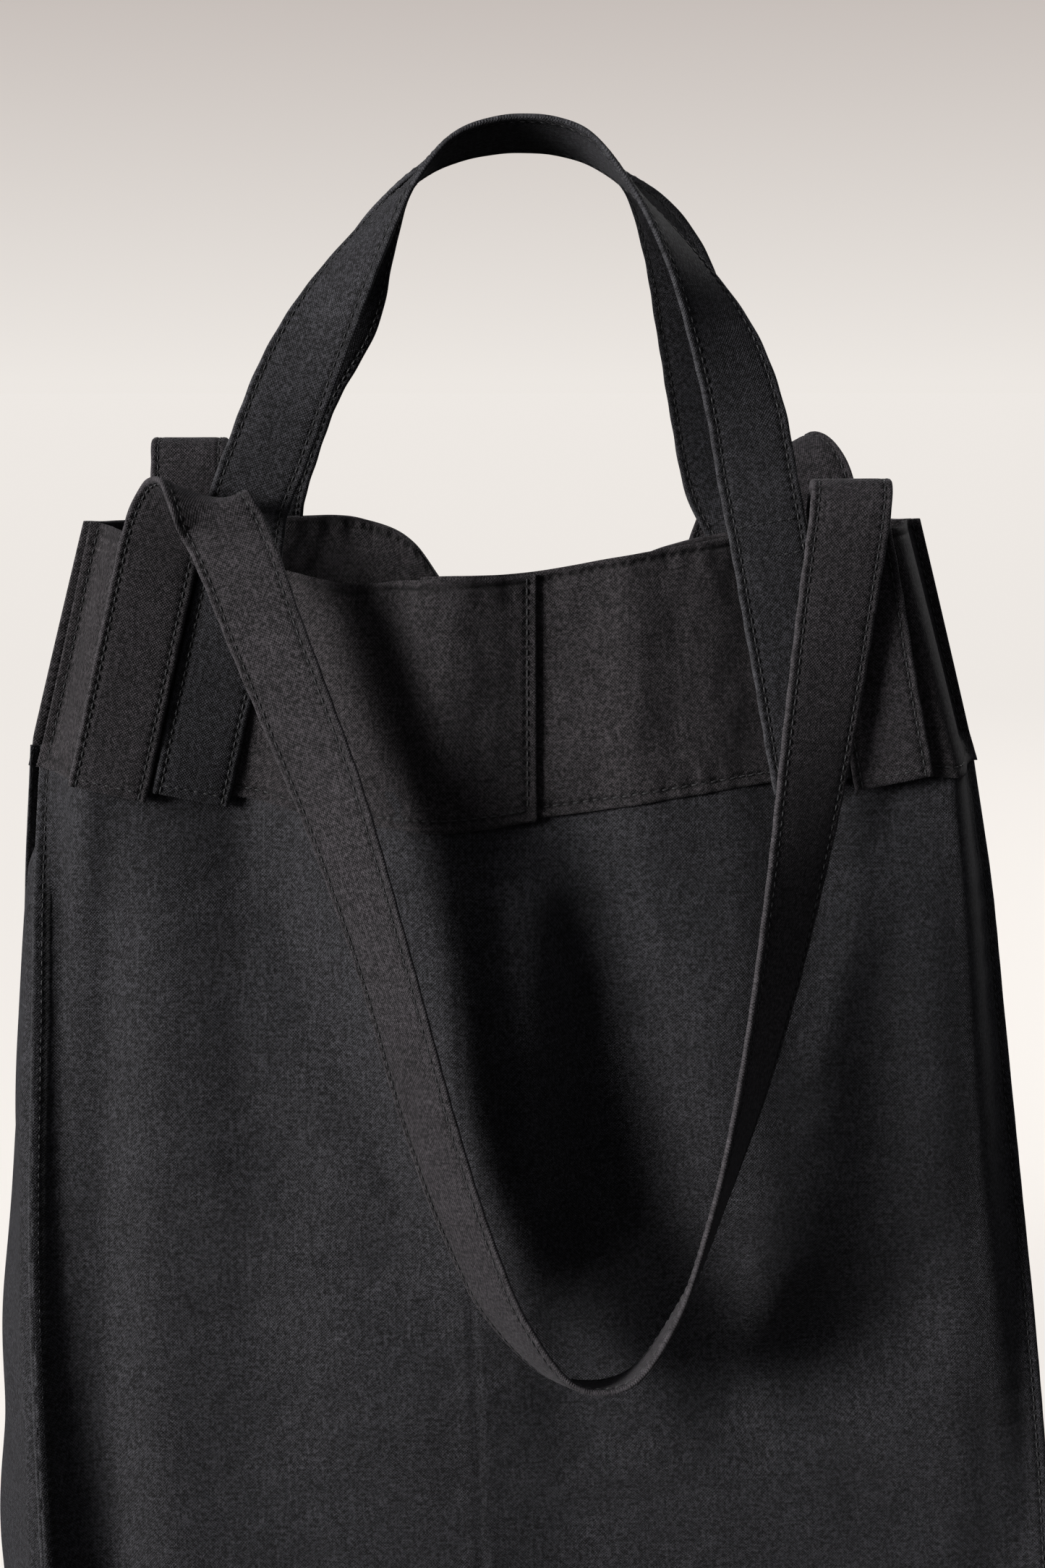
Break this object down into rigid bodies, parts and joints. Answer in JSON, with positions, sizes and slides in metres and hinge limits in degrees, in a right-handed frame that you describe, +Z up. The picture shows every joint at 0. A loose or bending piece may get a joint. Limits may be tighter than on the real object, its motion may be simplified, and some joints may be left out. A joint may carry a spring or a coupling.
{
  "type": "canvas tote bag",
  "caption": "Open-topped canvas tote bag with a doubled yoke, two upright grab handles and two long shoulder straps that hang in front of and behind it.",
  "frame": {"origin": "middle of the underside of the base panel, where the bag stands on a surface", "axes": "+Z up to the handles, -Y to the front, whose yoke laps left over right and whose shoulder strap hangs in view, +X to the right seen from the front"},
  "size_m": [0.452, 0.2394, 0.6423],
  "materials": {
    "body_canvas": "matte, slubby plain weave, cool black",
    "yoke_canvas": "matte, crisp plain weave, warm charcoal black",
    "strap_canvas": "matte, folded and topstitched canvas, worn paler on its edges",
    "thread": "spun polyester topstitching thread, soft sheen"
  },
  "bodies": {
    "bag": {"base_panel": "body_canvas", "front_anchor_stitching_left": "thread", "front_anchor_stitching_right": "thread", "front_grab_strap_end_left": "strap_canvas", "front_grab_strap_end_right": "strap_canvas", "front_panel_left": "body_canvas", "front_panel_right": "body_canvas", "front_shoulder_strap_end_left": "strap_canvas", "front_shoulder_strap_end_right": "strap_canvas", "front_yoke_left": "yoke_canvas", "front_yoke_right": "yoke_canvas", "left_gusset": "body_canvas", "rear_anchor_stitching_left": "thread", "rear_anchor_stitching_right": "thread", "rear_grab_strap_end_left": "strap_canvas", "rear_grab_strap_end_right": "strap_canvas", "rear_panel_left": "body_canvas", "rear_panel_right": "body_canvas", "rear_shoulder_strap_end_left": "strap_canvas", "rear_shoulder_strap_end_right": "strap_canvas", "rear_yoke_left": "yoke_canvas", "rear_yoke_right": "yoke_canvas", "right_gusset": "body_canvas"},
    "front_grab_handle": {"front_grab_handle": "strap_canvas"},
    "rear_grab_handle": {"rear_grab_handle": "strap_canvas"},
    "front_shoulder_strap": {"front_shoulder_strap": "strap_canvas"},
    "rear_shoulder_strap": {"rear_shoulder_strap": "strap_canvas"}
  },
  "joints": [
    {"name": "front_grab_handle_swing", "type": "hinge", "parent": "bag", "child": "front_grab_handle", "pos_m": [0, -0.04921, 0.49576], "axis": [1, 0, 0], "range_deg": [0, 25]},
    {"name": "rear_grab_handle_swing", "type": "hinge", "parent": "bag", "child": "rear_grab_handle", "pos_m": [0, 0.04921, 0.49576], "axis": [-1, 0, 0], "range_deg": [0, 25]},
    {"name": "front_shoulder_strap_lift", "type": "hinge", "parent": "bag", "child": "front_shoulder_strap", "pos_m": [0, -0.05459, 0.4935], "axis": [-1, 0, 0], "range_deg": [0, 90]},
    {"name": "rear_shoulder_strap_lift", "type": "hinge", "parent": "bag", "child": "rear_shoulder_strap", "pos_m": [0, 0.05459, 0.4935], "axis": [1, 0, 0], "range_deg": [0, 90]}
  ]
}
